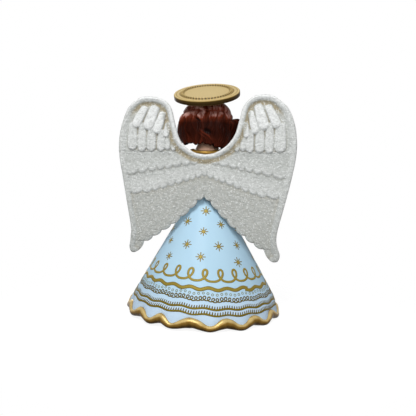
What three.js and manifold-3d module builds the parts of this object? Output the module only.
// Angel tree topper: a hollow painted skirt with a wavy gold hem, a bodice with folded arms,
// a head with bobbed hair, a tilted gold halo and one-piece feathered wings.
// Millimetres, +Z up. The angel faces -Y, its right hand is at -X, and it stands on z = 0.

import * as THREE from 'three';
import { mergeVertices } from 'three/addons/utils/BufferGeometryUtils.js';
import Module from 'manifold-3d';

const wasm = await Module();
wasm.setup();

// Gap kept between pieces that seat on each other
const FIT = 0.3;

// Skirt: a straight cone from the neck to the bell line, then a short turn down to the hem
const SKIRT_NECK_Z = 105;
const SKIRT_NECK_RADIUS = 11.7;
const SKIRT_BELL_Z = 17;
const SKIRT_BELL_RADIUS = 61.9;
const SKIRT_WALL = 1.5;

// Hem bead: its middle line waves up and down, and in and out, round the hem
const HEM_FLARE = 2.9;
const HEM_WAVES = 16;
const HEM_WAVE_RISE = 1.8;
const HEM_WAVE_REACH = 1.5;
const HEM_LOW_ANGLE = THREE.MathUtils.degToRad(100);
const HEM_BEAD_RADIUS = 2.7;
const FOOT_CUT = 0.5;

// Tree socket, with the screw and washer that hold it, the skirt and the bodice together
const SOCKET_LENGTH = 56;
const SOCKET_TOP_BORE = 9.4;
const SOCKET_MOUTH_BORE = 11.4;
const SOCKET_WALL = 1.6;
const SOCKET_CAP = 2;
const SCREW_RADIUS = 2;
const SCREW_LENGTH = 18;
const SCREW_HEAD_RADIUS = 3.8;
const SCREW_HEAD_HEIGHT = 2.6;
const SCREW_CROWN_SHARE = 0.7;
const SCREW_CROWN_HEIGHT = 1;
const SCREW_SLOT_WIDTH = 1;
const SCREW_SLOT_DEPTH = 1.2;
const WASHER_RADIUS = 6.2;
const WASHER_THICKNESS = 1;

// Bodice: oval rings from the waist up to the foot of the neck, each at a share of its height
const BODICE_HEIGHT = 35.2;
const WAIST_SHARE = 0.13;
const RIB_SHARE = 0.32;
const RIB_FULLNESS = 0.86;
const CHEST_SHARE = 0.54;
const SHOULDER_SHARE = 0.74;
const SLOPE_SHARE = 0.88;
const SLOPE_FULLNESS = 0.88;
const NECK_SEAT_SHARE = 0.97;
const NECK_SEAT_LIP = 1.8;
const NECK_SEAT_BEVEL = 0.8;
const SPIGOT_LENGTH = 8;
const WAIST_STEP = 1.2;
const CHEST_HALF_WIDTH = 15.2;
const CHEST_HALF_DEPTH = 12.2;
const SHOULDER_HALF_WIDTH = 16.4;
const SHOULDER_HALF_DEPTH = 10.6;
const WING_PAD_HALF_WIDTH = 9;
const WING_PAD_HALF_HEIGHT = 11;
const BAND_HEIGHT = 3.4;
const BAND_THICKNESS = 1.9;
const BAND_BULGE = 0.5;
const BAND_BEVEL = 1;

// Neck, head and collar
const NECK_RADIUS = 9.4;
const NECK_LENGTH = 9.4;
const NECK_DOWEL_RADIUS = 2.5;
const NECK_DOWEL_LENGTH = 16;
const HEAD_HALF_WIDTH = 18.5;
const HEAD_HALF_DEPTH = 17;
const HEAD_HALF_HEIGHT = 17.8;
const NOSE_REACH = 2.4;
const NOSE_HALF_HEIGHT = 3.4;
const NOSE_DROP = 2.1;
const COLLAR_RADIUS = 16;
const COLLAR_HEIGHT = 4;
const COLLAR_EDGE = 1.6;
const COLLAR_LIP = 1.6;
const COLLAR_BEVEL = 0.7;

// Hair: a squarish bob over the head, open at the face
const HAIR_SIDE = 6;
const HAIR_BACK = 3;
const HAIR_TOP = 2.3;
const HAIR_HALF_HEIGHT = 23;
const HAIR_DROP = 1;
const HAIR_SHIFT = 1.5;
const HAIR_SQUARENESS = 2.6;
const HAIR_WING_GAP = 1.2;
const LEFT_LOCK_REACH = 1.2;
const RIGHT_LOCK_REACH = 3.8;
const LOCK_HALF_WIDTH = 6.5;
const LOCK_HALF_DEPTH = 7.5;
const LOCK_HALF_HEIGHT = 9.5;
const LEFT_LOCK_DROP = 6;
const RIGHT_LOCK_DROP = 2.6;
const FACE_HALF_WIDTH = 14.5;
const FACE_HALF_HEIGHT = 15.5;
const FACE_RISE = 10.8;

// Halo: a disc that leans back over the hair, on a short post
const HALO_RADIUS = 29.5;
const HALO_THICKNESS = 4.1;
const HALO_RIM_WIDTH = 3.2;
const HALO_BEAD_WIDTH = 2.4;
const HALO_RELIEF = 0.8;
const HALO_LEAN_BACK = THREE.MathUtils.degToRad(26.7);
const HALO_LEAN_SIDE = THREE.MathUtils.degToRad(2.4);
const HALO_GAP = 0.4;
const HALO_SHIFT_X = 1.7;
const HALO_SHIFT_Y = 1.2;
const POST_RADIUS = 5;
const POST_DEPTH = 5;

// Arms folded in prayer, drawn on the angel's left side (+X) and mirrored
const SLEEVE_SHOULDER_RADIUS = 6;
const SLEEVE_ELBOW_RADIUS = 6.8;
const SLEEVE_WRIST_RADIUS = 6.2;
const CUFF_LENGTH = 2;
const CUFF_LIP = 0.6;
const UPPER_ARM = { out: 3.6, front: 1.5, drop: 5.5 };
const ELBOW = { out: 5.6, front: 8, drop: 12.6 };
const FOREARM = { out: 6.5, back: 5, drop: 11.6 };
const WRIST_DROP = 8.4;
const WRIST_SPREAD = 2;
const WRIST_CHEST_GAP = 4;
const WRIST_RADIUS = 3.2;
const WRIST_PEG = 4;
const PALM_REACH = 6.1;
const PALM_RISE = 5.7;
const FINGER_REACH = 8;
const FINGER_RISE = 17.5;
const HAND_HALF_WIDTH = 4.6;
const HAND_HALF_THICKNESS = 2.2;
const ARM_DOWEL_RADIUS = 2;
const ARM_DOWEL_LENGTH = 8;

// Rings of one hand as [share of the way from palm to fingertip, share of width, share of thickness]
const HAND_RINGS = [
  [-0.25, 0.5, 0.5], [-0.1, 0.8, 0.9], [0.3, 1, 1], [0.6, 0.95, 0.9], [0.88, 0.7, 0.75], [1, 0.35, 0.4],
];

// Wings: thicknesses are measured back from the wings' flat front face
const WING_SKIRT_GAP = 1.93;
const WING_LINE_DROP = 3.4;
const WING_SWEEP = THREE.MathUtils.degToRad(4);
const WING_LENGTH_SKEW = 0.022;
const WING_SKEW_REACH = 40;
const WING_PLATE = 3;
const WING_LOW_BAND = 3.7;
const WING_HIGH_BAND = 4.4;
const WING_SECOND_ROW = 4.6;
const WING_FIRST_ROW = 5.3;
const WING_RIM_RADIUS = 2.3;
const WING_RIM_TIP_RADIUS = 1.2;
const WING_RIM_TOP = 5.9;
const WING_DOWEL_RADIUS = 2;
const WING_DOWEL_LENGTH = 8;
const WING_DOWEL_SPACING = 9;
const WING_DOWEL_DEPTH = 2;

// Edge of one wing as [out from the middle, up from the wing line], from the dip round to the long tip feather
const WING_EDGE = [
  [0, 2.2], [8.5, 3.6], [18.8, 9.2], [24.2, 17.5], [27.6, 29], [30.9, 40.9], [35.5, 46.4], [41.8, 49.2],
  [48.4, 49.9], [56.4, 48.6], [63, 44.1], [67.6, 39.1], [71, 31.7], [73.6, 22.9], [75.1, 10.5],
  [74.5, -1.6], [71, -21.1], [66.8, -41.6], [62.9, -60.1], [62.2, -67.6], [63.3, -75.4], [64.4, -80.5],
  [62.6, -85.2], [58.4, -85.2], [54.1, -81.7], [51.1, -75.2],
];
const WING_RIM_END = 0.84;
const WING_LOWER_BEND = [22.9, -59.8];
const WING_LOWER_END = [0, -32.8];
const WING_LOWER_SCALLOPS = 7;
const WING_LOWER_SAG = 2;

// Long feathers as [top out, top up, tip out, tip up, width]
const FIRST_ROW = [
  [52.4, 40.6, 60.2, 23.6, 7.4],
  [44.8, 40.2, 49.6, 22, 8.2],
  [38, 34.6, 41.8, 19, 6.6],
  [34.4, 25.4, 33.6, 15.9, 5.4],
];
const SECOND_ROW = [
  [62.3, 21, 62.4, 4, 8.2],
  [54, 21.3, 54, 3.1, 7.4],
  [45.9, 18.2, 46.2, 3.3, 7.4],
  [37.9, 16.3, 37.7, 3.5, 6.4],
  [32.3, 13.3, 32.2, 4.6, 4.5],
  [27.9, 9.7, 26.8, 4.3, 3.8],
];
const FEATHER_ROOT_SHARE = 0.45;

// Scalloped bands: the height of the lower line is start + slope * out + bend * out^2
const HIGH_BAND_LINE = { start: -3.7, slope: -0.2, bend: 0 };
const LOW_BAND_LINE = { start: -14.8, slope: -0.5, bend: 0.0035 };
const HIGH_BAND_TOP = 9;
const HIGH_BAND_SCALLOPS = 9;
const LOW_BAND_SCALLOPS = 11;
const BAND_SCALLOP_SAG = 1.5;
const BAND_REACH = 72;

// Facets
const ROUND_SIDES = 28;
const SMALL_SIDES = 14;
const STEPS_PER_WAVE = 6;
const WAVE_SLOPE_STEP = 0.01;
const SKIRT_TURN_STEPS = 2;
const BEAD_SIDES = 8;
const HALO_SIDES = 48;
const SLEEVE_STEPS = 14;
const WING_EDGE_STEPS = 44;
const WING_RIM_SIDES = 6;
const SCALLOP_STEPS = 3;
const FEATHER_TIP_STEPS = 5;

// Paint and material of each kind of piece
function finish(color, roughness, metalness = 0) {
  return new THREE.MeshStandardMaterial({ color, roughness, metalness });
}

const ENAMEL_BLUE = finish('#bcdcee', 0.3);
const SATIN_GOLD = finish('#b9974f', 0.38, 0.85);
const GLITTER_WHITE = finish('#cfd2cf', 0.6);
const SKIN = finish('#c99a7e', 0.5);
const HAIR_BROWN = finish('#4a2216', 0.35);
const SOCKET_WHITE = finish('#d8d4c8', 0.6);
const ZINC_STEEL = finish('#b8bcc0', 0.35, 0.9);
const BEECH = finish('#c8a878', 0.7);

// Turns a closed geometry into a solid whose faces point out
function solid(geometry) {
  const bare = geometry.clone();
  bare.deleteAttribute('normal');
  bare.deleteAttribute('uv');
  const merged = mergeVertices(bare, 1e-4);
  const points = Float32Array.from(merged.attributes.position.array);
  const corners = [];
  const index = merged.index.array;
  let volume = 0;
  const [a, b, c] = [new THREE.Vector3(), new THREE.Vector3(), new THREE.Vector3()];
  for (let i = 0; i < index.length; i += 3) {
    const [p, q, r] = [index[i], index[i + 1], index[i + 2]];
    if (p !== q && q !== r && r !== p) corners.push(p, q, r);
    volume += a.fromArray(points, 3 * p).dot(b.fromArray(points, 3 * q).cross(c.fromArray(points, 3 * r)));
  }
  if (volume < 0) corners.reverse();
  return new wasm.Manifold(new wasm.Mesh({
    numProp: 3, vertProperties: points, triVerts: Uint32Array.from(corners),
  }));
}

// Gives a solid's triangles back as a geometry with flat facets
function geometryOf(body) {
  const mesh = body.getMesh();
  const geometry = new THREE.BufferGeometry();
  geometry.setAttribute('position', new THREE.BufferAttribute(Float32Array.from(mesh.vertProperties), 3));
  geometry.setIndex(new THREE.BufferAttribute(Uint32Array.from(mesh.triVerts), 1));
  geometry.computeVertexNormals();
  return geometry;
}

const join = (...bodies) => bodies.reduce((whole, body) => whole.add(body));
const cut = (body, ...tools) => tools.reduce((rest, tool) => rest.subtract(tool), body);

// Skin over a row of rings of equal count: flat fans close the ends, or the last ring joins the first
function skin(rings, joined = false) {
  const count = rings[0].length;
  const points = rings.flat();
  const corners = [];
  const spans = joined ? rings.length : rings.length - 1;
  for (let i = 0; i < spans; i++) {
    const near = i * count;
    const far = ((i + 1) % rings.length) * count;
    for (let j = 0; j < count; j++) {
      const k = (j + 1) % count;
      corners.push(near + j, near + k, far + k, near + j, far + k, far + j);
    }
  }
  if (!joined) {
    for (const [ring, start, turn] of [[rings[0], 0, 1], [rings.at(-1), (rings.length - 1) * count, -1]]) {
      const middle = ring.reduce((sum, p) => sum.add(p), new THREE.Vector3()).divideScalar(count);
      const hub = points.push(middle) - 1;
      for (let j = 0; j < count; j++) {
        const k = (j + 1) % count;
        corners.push(hub, start + (turn > 0 ? k : j), start + (turn > 0 ? j : k));
      }
    }
  }
  const geometry = new THREE.BufferGeometry().setFromPoints(points);
  geometry.setIndex(corners);
  return solid(geometry);
}

// Oval ring of points about a centre, with half axes u and v
function oval(centre, u, v, sides) {
  return Array.from({ length: sides }, (_, i) => {
    const turn = (2 * Math.PI * i) / sides;
    return centre.clone().addScaledVector(u, Math.cos(turn)).addScaledVector(v, Math.sin(turn));
  });
}

// Level oval ring about the Z axis
const levelOval = (z, halfWidth, halfDepth) => oval(
  new THREE.Vector3(0, 0, z), new THREE.Vector3(halfWidth, 0, 0),
  new THREE.Vector3(0, halfDepth, 0), ROUND_SIDES);

// Round tube along a curve, with its radius at t from 0 to 1 given by radiusAt
function tube(curve, radiusAt, steps, sides) {
  const frames = curve.computeFrenetFrames(steps);
  const rings = Array.from({ length: steps + 1 }, (_, i) => {
    const radius = radiusAt(i / steps);
    const u = frames.normals[i].clone().multiplyScalar(radius);
    const v = frames.binormals[i].clone().multiplyScalar(radius);
    return oval(curve.getPointAt(i / steps), u, v, sides);
  });
  return skin(rings);
}

const curveThrough = (points) => new THREE.CatmullRomCurve3(points, false, 'centripetal');

// Solid of revolution about Z from a closed profile of [radius, z]
function turned(profile, sides = ROUND_SIDES) {
  const points = [...profile, profile[0]].map(([radius, z]) => new THREE.Vector2(radius, z));
  return solid(new THREE.LatheGeometry(points, sides).rotateX(Math.PI / 2));
}

const disc = (radius, low, high, sides = ROUND_SIDES) => turned(
  [[0, low], [radius, low], [radius, high], [0, high]], sides);

// Cylinder of a given radius between two points
function rod(from, to, radius, sides = SMALL_SIDES) {
  return tube(new THREE.LineCurve3(from, to), () => radius, 1, sides);
}

function box(low, high) {
  const size = high.clone().sub(low);
  const middle = low.clone().add(high).multiplyScalar(0.5);
  return solid(new THREE.BoxGeometry(size.x, size.y, size.z).translate(middle.x, middle.y, middle.z));
}

// Rounded block with |x/a|^n + |y/b|^n + |z/c|^n = 1; an exponent n of 2 gives an ellipsoid
function roundedBlock(centre, half, exponent, sides = ROUND_SIDES) {
  const geometry = new THREE.SphereGeometry(1, sides, sides / 2);
  const place = geometry.attributes.position;
  const p = new THREE.Vector3();
  for (let i = 0; i < place.count; i++) {
    p.fromBufferAttribute(place, i);
    const sum = Math.abs(p.x) ** exponent + Math.abs(p.y) ** exponent + Math.abs(p.z) ** exponent;
    p.multiplyScalar(sum ** (-1 / exponent)).multiply(half).add(centre);
    place.setXYZ(i, p.x, p.y, p.z);
  }
  return solid(geometry);
}

// Same solid on the other side of the plane x = 0
function mirrored(body) {
  return solid(geometryOf(body).scale(-1, 1, 1));
}

// Heights and places that several pieces share
const hemRadius = SKIRT_BELL_RADIUS + HEM_FLARE;
const hemZ = HEM_WAVE_RISE + HEM_BEAD_RADIUS - FOOT_CUT;
const coneSlope = (SKIRT_BELL_RADIUS - SKIRT_NECK_RADIUS) / (SKIRT_NECK_Z - SKIRT_BELL_Z);
const skirtRadiusAt = (z) => SKIRT_NECK_RADIUS + coneSlope * (SKIRT_NECK_Z - z);
const bodiceFootZ = SKIRT_NECK_Z + FIT;
const bodiceTopZ = bodiceFootZ + BODICE_HEIGHT;
const waistRadius = SKIRT_NECK_RADIUS - WAIST_STEP;
const spigotRadius = SKIRT_NECK_RADIUS - SKIRT_WALL - FIT;
const spigotFootZ = bodiceFootZ - SPIGOT_LENGTH;
const socketTopZ = spigotFootZ - FIT;
const washerTopZ = socketTopZ - SOCKET_CAP - FIT;
const screwSeatZ = washerTopZ - WASHER_THICKNESS - FIT;
const wingLineZ = bodiceTopZ - WING_LINE_DROP;
const neckFootZ = bodiceTopZ + FIT;
const headZ = neckFootZ + NECK_LENGTH + HEAD_HALF_HEIGHT;

// The lower edge of a wing, as a curve from the tip feather in to the middle
const toVector2 = ([out, up]) => new THREE.Vector2(out, up);
const lowerEdge = new THREE.QuadraticBezierCurve(
  toVector2(WING_EDGE.at(-1)), toVector2(WING_LOWER_BEND), toVector2(WING_LOWER_END));

// The wings' front face stands clear of the skirt along the whole lower edge
const skirtReach = Math.max(...lowerEdge.getPoints(WING_LOWER_SCALLOPS).map((p) => {
  const radius = skirtRadiusAt(wingLineZ + p.y - WING_LOWER_SAG);
  return Math.sqrt(Math.max(0, radius ** 2 - p.x ** 2));
}));
const wingFrontY = skirtReach + WING_SKIRT_GAP;
const headY = wingFrontY - HAIR_WING_GAP - HAIR_BACK - HEAD_HALF_DEPTH;

// Middle line of the hem bead at an angle about Z
function hemPoint(angle) {
  const wave = Math.cos(HEM_WAVES * (angle - HEM_LOW_ANGLE));
  const radius = hemRadius + HEM_WAVE_REACH * wave;
  return new THREE.Vector3(radius * Math.cos(angle), radius * Math.sin(angle), hemZ - HEM_WAVE_RISE * wave);
}

const hemSteps = HEM_WAVES * STEPS_PER_WAVE;
const hemAngles = Array.from({ length: hemSteps }, (_, i) => HEM_LOW_ANGLE + (2 * Math.PI * i) / hemSteps);

function makeHemBead() {
  const rings = hemAngles.map((angle) => {
    const centre = hemPoint(angle);
    const ahead = hemPoint(angle + WAVE_SLOPE_STEP).sub(hemPoint(angle - WAVE_SLOPE_STEP)).normalize();
    const out = new THREE.Vector3(Math.cos(angle), Math.sin(angle), 0);
    const up = new THREE.Vector3().crossVectors(out, ahead).normalize();
    out.crossVectors(ahead, up);
    out.multiplyScalar(HEM_BEAD_RADIUS);
    up.multiplyScalar(HEM_BEAD_RADIUS);
    return oval(centre, out, up, BEAD_SIDES);
  });
  const reach = hemRadius + HEM_WAVE_REACH + 2 * HEM_BEAD_RADIUS;
  const floor = box(new THREE.Vector3(-reach, -reach, -reach), new THREE.Vector3(reach, reach, 0));
  return cut(skin(rings, true), floor);
}

// The skirt's wall follows the hem's waves below the bell line and ends on top of the bead
function makeSkirt() {
  const levels = Array.from({ length: SKIRT_TURN_STEPS + 1 }, (_, i) => i / SKIRT_TURN_STEPS);
  const around = (angle, radius, z) => new THREE.Vector3(
    radius * Math.cos(angle), radius * Math.sin(angle), z);
  const shell = (inset) => [
    hemAngles.map((angle) => around(angle, SKIRT_NECK_RADIUS - inset, SKIRT_NECK_Z)),
    ...levels.map((t) => hemAngles.map((angle) => {
      const hem = hemPoint(angle);
      const edgeRadius = Math.hypot(hem.x, hem.y) + SKIRT_WALL / 2;
      const turnZ = SKIRT_BELL_Z - (edgeRadius - SKIRT_BELL_RADIUS) / coneSlope;
      const profile = new THREE.QuadraticBezierCurve(
        new THREE.Vector2(SKIRT_BELL_RADIUS, SKIRT_BELL_Z), new THREE.Vector2(edgeRadius, turnZ),
        new THREE.Vector2(edgeRadius, hem.z + HEM_BEAD_RADIUS + FIT));
      const p = profile.getPoint(t);
      return around(angle, p.x - inset, p.y);
    })),
  ];
  return skin([...shell(0), ...shell(SKIRT_WALL).reverse()], true);
}

function makeTreeSocket() {
  const mouthZ = socketTopZ - SOCKET_LENGTH;
  const capZ = socketTopZ - SOCKET_CAP;
  const hole = SCREW_RADIUS + FIT;
  return turned([
    [hole, socketTopZ], [SOCKET_TOP_BORE + SOCKET_WALL, socketTopZ],
    [SOCKET_MOUTH_BORE + SOCKET_WALL, mouthZ], [SOCKET_MOUTH_BORE, mouthZ],
    [SOCKET_TOP_BORE, capZ], [hole, capZ],
  ]);
}

const makeWasher = () => turned([
  [SCREW_RADIUS + FIT, washerTopZ - WASHER_THICKNESS], [WASHER_RADIUS, washerTopZ - WASHER_THICKNESS],
  [WASHER_RADIUS, washerTopZ], [SCREW_RADIUS + FIT, washerTopZ],
]);

function makeScrew() {
  const headFootZ = screwSeatZ - SCREW_HEAD_HEIGHT;
  const shape = turned([
    [0, headFootZ], [SCREW_CROWN_SHARE * SCREW_HEAD_RADIUS, headFootZ],
    [SCREW_HEAD_RADIUS, headFootZ + SCREW_CROWN_HEIGHT],
    [SCREW_HEAD_RADIUS, screwSeatZ], [SCREW_RADIUS, screwSeatZ],
    [SCREW_RADIUS, screwSeatZ + SCREW_LENGTH - SCREW_RADIUS], [0, screwSeatZ + SCREW_LENGTH],
  ], SMALL_SIDES);
  const slot = box(
    new THREE.Vector3(-2 * SCREW_HEAD_RADIUS, -SCREW_SLOT_WIDTH / 2, headFootZ - SCREW_SLOT_DEPTH),
    new THREE.Vector3(2 * SCREW_HEAD_RADIUS, SCREW_SLOT_WIDTH / 2, headFootZ + SCREW_SLOT_DEPTH));
  return cut(shape, slot);
}

// Torso as oval rings, grown all round by a margin for the pieces that seat against it
function torso(margin) {
  const rows = [
    [0, waistRadius, waistRadius],
    [WAIST_SHARE, waistRadius, waistRadius],
    [RIB_SHARE, RIB_FULLNESS * CHEST_HALF_WIDTH, RIB_FULLNESS * CHEST_HALF_DEPTH],
    [CHEST_SHARE, CHEST_HALF_WIDTH, CHEST_HALF_DEPTH],
    [SHOULDER_SHARE, SHOULDER_HALF_WIDTH, SHOULDER_HALF_DEPTH],
    [SLOPE_SHARE, SLOPE_FULLNESS * SHOULDER_HALF_WIDTH, SLOPE_FULLNESS * SHOULDER_HALF_DEPTH],
    [NECK_SEAT_SHARE, NECK_RADIUS + NECK_SEAT_LIP, NECK_RADIUS],
    [1, NECK_RADIUS + NECK_SEAT_LIP - NECK_SEAT_BEVEL, NECK_RADIUS - NECK_SEAT_BEVEL],
  ];
  const rings = rows.map(([share, halfWidth, halfDepth]) => levelOval(
    bodiceFootZ + share * BODICE_HEIGHT, halfWidth + margin, halfDepth + margin));
  return skin(rings);
}

// Slab that fills everything behind one wing's front face, moved forward by a margin
function behindWing(side, margin) {
  const far = 4 * WING_PAD_HALF_WIDTH;
  const across = new THREE.Vector3(side * Math.cos(WING_SWEEP), Math.sin(WING_SWEEP), 0);
  const back = new THREE.Vector3(-side * Math.sin(WING_SWEEP), Math.cos(WING_SWEEP), 0);
  const start = new THREE.Vector3(0, wingFrontY - margin, wingLineZ).addScaledVector(across, -far);
  const corner = (along, behind, up) => start.clone()
    .addScaledVector(across, along).addScaledVector(back, behind).add(new THREE.Vector3(0, 0, up));
  return skin([-far, far].map((up) => [
    corner(0, 0, up), corner(2 * far, 0, up), corner(2 * far, far, up), corner(0, far, up),
  ]));
}

const wingPadZ = wingLineZ - WING_PAD_HALF_HEIGHT - WING_LINE_DROP;
const wingDowelAt = (side, y) => new THREE.Vector3((side * WING_DOWEL_SPACING) / 2, y, wingPadZ);
const wingDowelBackY = wingFrontY + WING_DOWEL_DEPTH;
const wingDowel = (side, margin) => rod(
  wingDowelAt(side, wingDowelBackY - WING_DOWEL_LENGTH - margin),
  wingDowelAt(side, wingDowelBackY + margin), WING_DOWEL_RADIUS + margin);

const neckDowel = (margin) => disc(NECK_DOWEL_RADIUS + margin,
  neckFootZ - NECK_DOWEL_LENGTH / 2 - margin, neckFootZ + NECK_DOWEL_LENGTH / 2 + margin, SMALL_SIDES);

// Middle line of the left arm, from inside the shoulder to the wrist
const shoulderZ = bodiceFootZ + SHOULDER_SHARE * BODICE_HEIGHT;
const wristX = SLEEVE_WRIST_RADIUS + CUFF_LIP + WRIST_SPREAD;
const wristY = -CHEST_HALF_DEPTH - SLEEVE_WRIST_RADIUS - WRIST_CHEST_GAP;
const arm = curveThrough([
  new THREE.Vector3(SHOULDER_HALF_WIDTH - SLEEVE_SHOULDER_RADIUS, 0, shoulderZ),
  new THREE.Vector3(SHOULDER_HALF_WIDTH + UPPER_ARM.out, -UPPER_ARM.front, shoulderZ - UPPER_ARM.drop),
  new THREE.Vector3(SHOULDER_HALF_WIDTH + ELBOW.out, -ELBOW.front, shoulderZ - ELBOW.drop),
  new THREE.Vector3(wristX + FOREARM.out, wristY + FOREARM.back, shoulderZ - FOREARM.drop),
  new THREE.Vector3(wristX, wristY, shoulderZ - WRIST_DROP),
]);
const wristEnd = arm.getPointAt(1);
const wristWay = arm.getTangentAt(1);
const alongWrist = (distance) => wristEnd.clone().addScaledVector(wristWay, distance);

const armDowel = (margin) => rod(
  new THREE.Vector3(SHOULDER_HALF_WIDTH - ARM_DOWEL_LENGTH / 2 - margin, 0, shoulderZ),
  new THREE.Vector3(SHOULDER_HALF_WIDTH + ARM_DOWEL_LENGTH / 2 + margin, 0, shoulderZ),
  ARM_DOWEL_RADIUS + margin);

function makeBodice() {
  const padAcross = new THREE.Vector3(WING_PAD_HALF_WIDTH, 0, 0);
  const padUp = new THREE.Vector3(0, 0, WING_PAD_HALF_HEIGHT);
  const pad = skin([0, wingFrontY + WING_PLATE].map((y) => oval(
    new THREE.Vector3(0, y, wingPadZ), padAcross, padUp, ROUND_SIDES)));
  const spigot = disc(spigotRadius, spigotFootZ, bodiceFootZ + SPIGOT_LENGTH);
  const screwHole = disc(
    SCREW_RADIUS + FIT, spigotFootZ - SPIGOT_LENGTH, screwSeatZ + SCREW_LENGTH + FIT, SMALL_SIDES);
  const armHole = armDowel(FIT);
  return cut(join(torso(0), spigot, cut(pad, behindWing(1, FIT), behindWing(-1, FIT))),
    screwHole, neckDowel(FIT), armHole, mirrored(armHole), wingDowel(1, FIT), wingDowel(-1, FIT));
}

function makeWaistBand() {
  const bore = waistRadius + FIT;
  const edge = waistRadius + BAND_THICKNESS;
  const topZ = bodiceFootZ + BAND_HEIGHT;
  return turned([
    [bore, bodiceFootZ], [edge, bodiceFootZ], [edge + BAND_BULGE, bodiceFootZ + BAND_BEVEL],
    [edge + BAND_BULGE, topZ - BAND_BEVEL], [edge, topZ], [bore, topZ],
  ]);
}

function makeSleeve() {
  const radiusAt = (t) => (t < 0.5
    ? THREE.MathUtils.lerp(SLEEVE_SHOULDER_RADIUS, SLEEVE_ELBOW_RADIUS, 2 * t)
    : THREE.MathUtils.lerp(SLEEVE_ELBOW_RADIUS, SLEEVE_WRIST_RADIUS, 2 * t - 1));
  const pegHole = rod(alongWrist(-WRIST_PEG - FIT), alongWrist(WRIST_PEG), WRIST_RADIUS + FIT);
  return cut(tube(arm, radiusAt, SLEEVE_STEPS, SMALL_SIDES), torso(FIT), armDowel(FIT), pegHole);
}

function makeCuff() {
  const ring = rod(
    alongWrist(FIT), alongWrist(FIT + CUFF_LENGTH), SLEEVE_WRIST_RADIUS + CUFF_LIP, ROUND_SIDES);
  return cut(ring, rod(alongWrist(-CUFF_LENGTH), alongWrist(3 * CUFF_LENGTH), WRIST_RADIUS + FIT));
}

// Wrist peg, heel of the hand, palm and flat fingers that lean against the other hand
function makeHand() {
  const palmX = HAND_HALF_THICKNESS + FIT;
  const heel = alongWrist(CUFF_LENGTH + 2 * FIT);
  const palm = new THREE.Vector3(palmX, heel.y - PALM_REACH, heel.z + PALM_RISE);
  const tip = new THREE.Vector3(palmX, heel.y - FINGER_REACH, heel.z + FINGER_RISE);
  const flatways = new THREE.Vector3(1, 0, 0);
  const broadways = tip.clone().sub(palm).normalize().cross(flatways);
  const flats = HAND_RINGS.map(([share, width, thickness]) => oval(palm.clone().lerp(tip, share),
    flatways.clone().multiplyScalar(thickness * HAND_HALF_THICKNESS),
    broadways.clone().multiplyScalar(width * HAND_HALF_WIDTH), SMALL_SIDES));
  const heelSize = new THREE.Vector3(WRIST_RADIUS, WRIST_RADIUS, WRIST_RADIUS);
  const narrowing = (t) => THREE.MathUtils.lerp(WRIST_RADIUS, HAND_HALF_THICKNESS, t);
  return join(
    rod(alongWrist(-WRIST_PEG), heel, WRIST_RADIUS), roundedBlock(heel, heelSize, 2, SMALL_SIDES),
    tube(new THREE.LineCurve3(heel, palm), narrowing, 1, SMALL_SIDES), skin(flats));
}

function makeCollar() {
  const bore = NECK_RADIUS + FIT;
  const edge = COLLAR_RADIUS - COLLAR_EDGE / 2;
  const topZ = neckFootZ + COLLAR_HEIGHT;
  return turned([
    [bore, neckFootZ], [edge, neckFootZ], [COLLAR_RADIUS, neckFootZ + COLLAR_EDGE / 2],
    [edge, neckFootZ + COLLAR_EDGE], [bore + COLLAR_LIP, topZ - COLLAR_BEVEL],
    [bore + COLLAR_LIP - COLLAR_BEVEL, topZ], [bore, topZ],
  ]);
}

// Hair's rounded block, and the halo that clears it: the block's reach along the halo's normal is exact
const headTopZ = headZ + HEAD_HALF_HEIGHT;
const headPlace = new THREE.Vector3(0, headY, headZ);
const hairHalf = new THREE.Vector3(
  HEAD_HALF_WIDTH + HAIR_SIDE, HEAD_HALF_DEPTH + HAIR_BACK, HAIR_HALF_HEIGHT);
const hairPlace = new THREE.Vector3(HAIR_SHIFT, headY, headTopZ + HAIR_TOP - HAIR_HALF_HEIGHT);
const haloTurn = new THREE.Euler(-HALO_LEAN_BACK, HALO_LEAN_SIDE, 0);
const haloWay = new THREE.Vector3(0, 0, 1).applyEuler(haloTurn);
const dual = HAIR_SQUARENESS / (HAIR_SQUARENESS - 1);
const hairReach = ((hairHalf.x * Math.abs(haloWay.x)) ** dual + (hairHalf.y * Math.abs(haloWay.y)) ** dual
  + (hairHalf.z * Math.abs(haloWay.z)) ** dual) ** (1 / dual);
const haloShift = haloWay.x * (HALO_SHIFT_X - HAIR_SHIFT) + haloWay.y * HALO_SHIFT_Y;
const haloRise = (hairReach + HALO_GAP - haloShift) / haloWay.z;
const haloFoot = new THREE.Vector3(HALO_SHIFT_X, hairPlace.y + HALO_SHIFT_Y, hairPlace.z + haloRise);
const alongHalo = (distance) => haloFoot.clone().addScaledVector(haloWay, distance);
const postEnd = (haloFoot.z - headTopZ - HAIR_TOP) / haloWay.z + POST_DEPTH;
const post = (margin) => rod(
  alongHalo(-postEnd - margin), alongHalo(margin - FIT), POST_RADIUS + margin, ROUND_SIDES);

function headShape(margin) {
  const skull = roundedBlock(headPlace, new THREE.Vector3(
    HEAD_HALF_WIDTH + margin, HEAD_HALF_DEPTH + margin, HEAD_HALF_HEIGHT + margin), 2);
  return join(skull, disc(NECK_RADIUS + margin, neckFootZ - margin, headZ));
}

function makeHead() {
  const nose = roundedBlock(
    new THREE.Vector3(0, headY - HEAD_HALF_DEPTH, headZ - NOSE_DROP),
    new THREE.Vector3(NOSE_REACH, NOSE_REACH, NOSE_HALF_HEIGHT), 2, SMALL_SIDES);
  return cut(join(headShape(0), nose), neckDowel(FIT), post(FIT));
}

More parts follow.
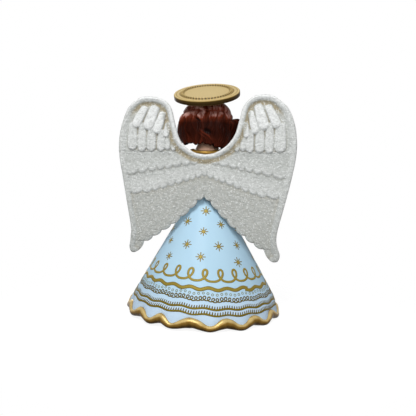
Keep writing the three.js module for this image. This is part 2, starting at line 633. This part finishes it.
function makeHair() {
  const lock = (side, reach, drop) => roundedBlock(
    new THREE.Vector3(
      hairPlace.x + side * (hairHalf.x + reach - LOCK_HALF_WIDTH), hairPlace.y, hairPlace.z - drop),
    new THREE.Vector3(LOCK_HALF_WIDTH, LOCK_HALF_DEPTH, LOCK_HALF_HEIGHT), 2, SMALL_SIDES);
  const hemLine = headZ - HEAD_HALF_HEIGHT - HAIR_DROP;
  const wide = 2 * hairHalf.x + LOCK_HALF_WIDTH;
  const below = box(
    new THREE.Vector3(-wide, -wide, hemLine - wide), new THREE.Vector3(wide, wide, hemLine));
  const face = roundedBlock(
    new THREE.Vector3(0, headY - HEAD_HALF_DEPTH, headZ - HEAD_HALF_HEIGHT + FACE_RISE),
    new THREE.Vector3(FACE_HALF_WIDTH, HEAD_HALF_DEPTH, FACE_HALF_HEIGHT), 2);
  const bob = join(
    roundedBlock(hairPlace, hairHalf, HAIR_SQUARENESS),
    lock(1, LEFT_LOCK_REACH, LEFT_LOCK_DROP), lock(-1, RIGHT_LOCK_REACH, RIGHT_LOCK_DROP));
  return cut(bob, below, headShape(FIT), face, post(FIT));
}

// Halo disc in its own frame, foot at z = 0, then leaned back
function makeHalo() {
  const beadOuter = HALO_RADIUS - HALO_RIM_WIDTH;
  const beadInner = beadOuter - HALO_BEAD_WIDTH;
  const top = HALO_THICKNESS;
  const groove = top - HALO_RELIEF;
  const inner = top - HALO_RELIEF / 2;
  const disk = turned([
    [0, 0], [HALO_RADIUS - HALO_RELIEF, 0], [HALO_RADIUS, HALO_RELIEF], [HALO_RADIUS, groove],
    [HALO_RADIUS - HALO_RELIEF, top], [beadOuter, top], [beadOuter - HALO_RELIEF, groove],
    [beadInner + HALO_RELIEF, groove], [beadInner, inner], [0, inner],
  ], HALO_SIDES);
  const lean = new THREE.Matrix4().makeRotationFromEuler(haloTurn).setPosition(haloFoot);
  return solid(geometryOf(disk).applyMatrix4(lean));
}

// Wings: everything is drawn flat as (out, up) on the +X side, then stretched, mirrored and swept back
const wingCurve = curveThrough(WING_EDGE.map(([out, up]) => new THREE.Vector3(out, up, 0)));

// Adds scallops that bulge away from the row's upper side between cusps along a line
function addScallops(shape, cusps, sag) {
  for (let i = 1; i < cusps.length; i++) {
    const chord = cusps[i].clone().sub(cusps[i - 1]);
    const bulge = new THREE.Vector2(chord.y, -chord.x).normalize();
    if (bulge.y > 0) bulge.negate();
    const control = cusps[i].clone().add(cusps[i - 1]).multiplyScalar(0.5).addScaledVector(bulge, 2 * sag);
    shape.quadraticCurveTo(control.x, control.y, cusps[i].x, cusps[i].y);
  }
}

// Flat plate of a drawn shape, from the wings' front face back to the given thickness
function plate(shape, thickness, curveSegments) {
  return solid(new THREE.ExtrudeGeometry(shape, { depth: thickness, bevelEnabled: false, curveSegments }));
}

function wingOutline(thickness) {
  const edge = wingCurve.getPoints(WING_EDGE_STEPS).map((p) => new THREE.Vector2(p.x, p.y));
  const shape = new THREE.Shape(edge);
  addScallops(shape, lowerEdge.getPoints(WING_LOWER_SCALLOPS), WING_LOWER_SAG);
  return plate(shape, thickness, SCALLOP_STEPS);
}

// Band of the wing above a scalloped line, up to a level top
function featherBand(line, scallops, top, thickness) {
  const heightAt = (out) => line.start + line.slope * out + line.bend * out ** 2;
  const cusps = Array.from({ length: scallops + 1 }, (_, i) => {
    const out = (BAND_REACH * i) / scallops;
    return new THREE.Vector2(out, heightAt(out));
  });
  const shape = new THREE.Shape().moveTo(cusps[0].x, cusps[0].y);
  addScallops(shape, cusps, BAND_SCALLOP_SAG);
  shape.lineTo(2 * BAND_REACH, heightAt(BAND_REACH)).lineTo(2 * BAND_REACH, top).lineTo(0, top).closePath();
  return plate(shape, thickness, SCALLOP_STEPS).intersect(wingOutline(thickness));
}

// Long feather with a round tip, narrower at its root
function longFeather([topOut, topUp, tipOut, tipUp, width], thickness) {
  const root = new THREE.Vector2(topOut, topUp);
  const tip = new THREE.Vector2(tipOut, tipUp);
  const along = tip.clone().sub(root).normalize();
  const across = new THREE.Vector2(-along.y, along.x).multiplyScalar(width / 2);
  const length = root.distanceTo(tip);
  const at = (distance, side) => root.clone()
    .addScaledVector(along, distance).addScaledVector(across, side);
  const tipTurn = Array.from({ length: FEATHER_TIP_STEPS + 1 }, (_, i) => {
    const turn = -Math.PI / 2 + (Math.PI * i) / FEATHER_TIP_STEPS;
    return at(length - width / 2 + (width / 2) * Math.cos(turn), Math.sin(turn));
  });
  const ends = [at(0, FEATHER_ROOT_SHARE), at(0, -FEATHER_ROOT_SHARE), ...tipTurn];
  return plate(new THREE.Shape(ends), thickness, 1);
}

// Rounded rim just inside the wing's edge, thinner towards the tip
function wingRim() {
  const radiusAt = (t) => THREE.MathUtils.lerp(WING_RIM_RADIUS, WING_RIM_TIP_RADIUS, t ** 3);
  const samples = wingCurve.getPoints(WING_EDGE_STEPS);
  const kept = samples.slice(0, Math.round(WING_RIM_END * samples.length));
  const height = WING_RIM_TOP - WING_RIM_RADIUS;
  const line = kept.map((p, i) => {
    const ahead = samples[i + 1].clone().sub(samples[Math.max(0, i - 1)]).normalize();
    const radius = radiusAt(i / kept.length);
    return new THREE.Vector3(p.x + ahead.y * radius, p.y - ahead.x * radius, height);
  });
  return tube(curveThrough(line), radiusAt, kept.length, WING_RIM_SIDES);
}

function flatWing() {
  const top = Math.max(...WING_EDGE.map(([, up]) => up)) + BAND_SCALLOP_SAG;
  return join(
    wingOutline(WING_PLATE),
    featherBand(LOW_BAND_LINE, LOW_BAND_SCALLOPS, top, WING_LOW_BAND),
    featherBand(HIGH_BAND_LINE, HIGH_BAND_SCALLOPS, HIGH_BAND_TOP, WING_HIGH_BAND),
    ...SECOND_ROW.map((feather) => longFeather(feather, WING_SECOND_ROW)),
    ...FIRST_ROW.map((feather) => longFeather(feather, WING_FIRST_ROW)),
    wingRim().intersect(wingOutline(2 * WING_RIM_TOP)));
}

// Sets one flat wing in its place: side is 1 for +X or -1 for -X
function placedWing(flat, side) {
  const geometry = geometryOf(flat);
  const place = geometry.attributes.position;
  for (let i = 0; i < place.count; i++) {
    const [out, up, back] = [place.getX(i), place.getY(i), place.getZ(i)];
    const stretch = 1 - side * WING_LENGTH_SKEW * Math.min(1, out / WING_SKEW_REACH);
    place.setXYZ(i, side * (out * Math.cos(WING_SWEEP) - back * Math.sin(WING_SWEEP)),
      wingFrontY + out * Math.sin(WING_SWEEP) + back * Math.cos(WING_SWEEP), wingLineZ + up * stretch);
  }
  return solid(geometry);
}

function makeWings() {
  const flat = flatWing();
  return cut(join(placedWing(flat, 1), placedWing(flat, -1)), wingDowel(1, FIT), wingDowel(-1, FIT));
}

// The whole angel, one mesh for each piece
const angel = new THREE.Group();

function addPiece(name, body, material) {
  const mesh = new THREE.Mesh(geometryOf(body), material);
  mesh.name = name;
  angel.add(mesh);
}

addPiece('skirt', makeSkirt(), ENAMEL_BLUE);
addPiece('hem_bead', makeHemBead(), SATIN_GOLD);
addPiece('tree_socket', makeTreeSocket(), SOCKET_WHITE);
addPiece('waist_washer', makeWasher(), ZINC_STEEL);
addPiece('waist_screw', makeScrew(), ZINC_STEEL);
addPiece('bodice', makeBodice(), ENAMEL_BLUE);
addPiece('waist_band', makeWaistBand(), SATIN_GOLD);
addPiece('collar', makeCollar(), SATIN_GOLD);
addPiece('neck_dowel', neckDowel(0), BEECH);
addPiece('head', makeHead(), SKIN);
addPiece('hair', makeHair(), HAIR_BROWN);
addPiece('halo_post', post(0), SATIN_GOLD);
addPiece('halo', makeHalo(), SATIN_GOLD);
addPiece('wings', makeWings(), GLITTER_WHITE);

const leftArm = {
  sleeve: [makeSleeve(), ENAMEL_BLUE],
  cuff: [makeCuff(), SATIN_GOLD],
  hand: [makeHand(), SKIN],
  arm_dowel: [armDowel(0), BEECH],
};
for (const [name, [body, material]] of Object.entries(leftArm)) {
  addPiece(`left_${name}`, body, material);
  addPiece(`right_${name}`, mirrored(body), material);
}
addPiece('left_wing_dowel', wingDowel(1, 0), BEECH);
addPiece('right_wing_dowel', wingDowel(-1, 0), BEECH);

export default angel;
